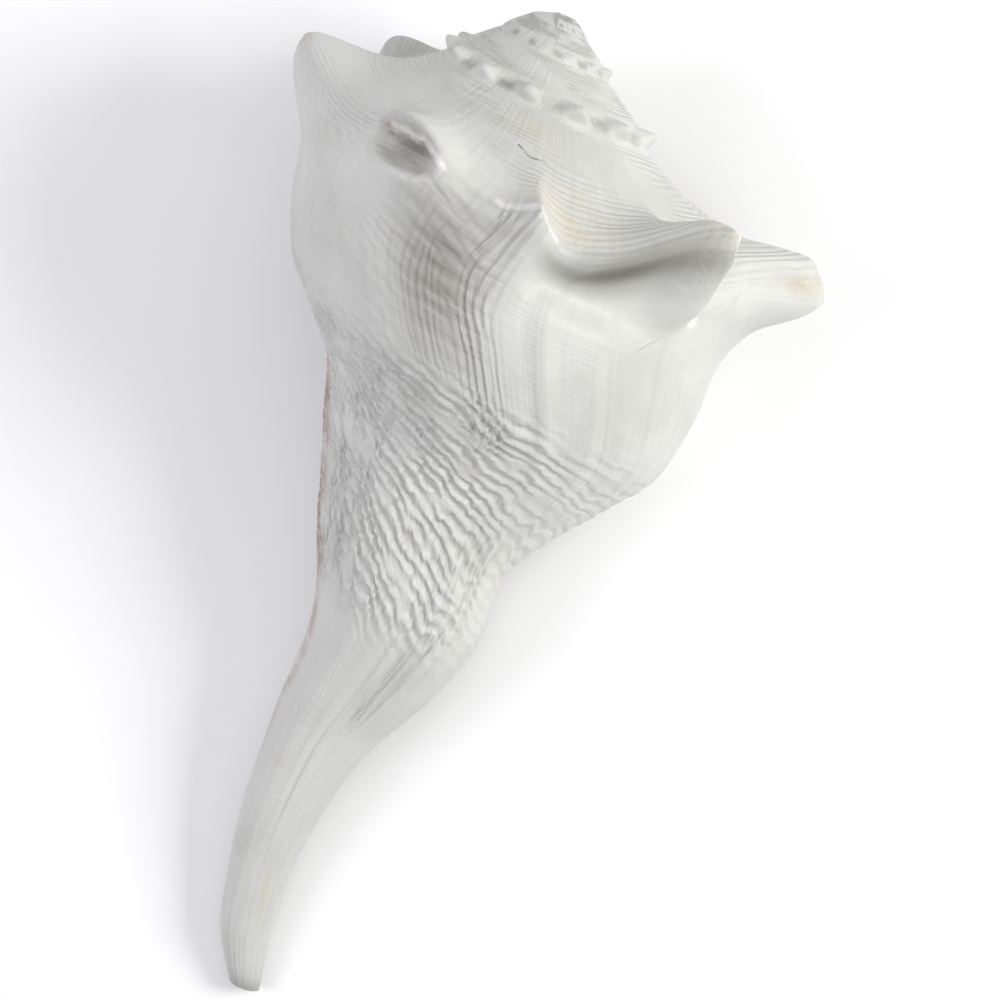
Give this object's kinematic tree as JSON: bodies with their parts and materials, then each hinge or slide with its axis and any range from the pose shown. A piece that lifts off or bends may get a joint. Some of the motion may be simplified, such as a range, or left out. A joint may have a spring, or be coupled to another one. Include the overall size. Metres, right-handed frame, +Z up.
{
  "type": "whelk shell",
  "caption": "Left-handed knobbed whelk shell, chalky white and worn, with a low spire, blunt shoulder spines and a long open canal, lying on its opening.",
  "frame": {"origin": "middle of the footprint, at the surface the shell rests on", "axes": "+Z up with the shell lying on its opening, +Y towards the apex, -Y towards the canal tip, +X towards the lip as seen from above"},
  "size_m": [0.1166, 0.2138, 0.082],
  "materials": {
    "shell_white": "matte, chalky and sea-worn"
  },
  "bodies": {
    "root": {"shell": "shell_white"}
  },
  "joints": []
}
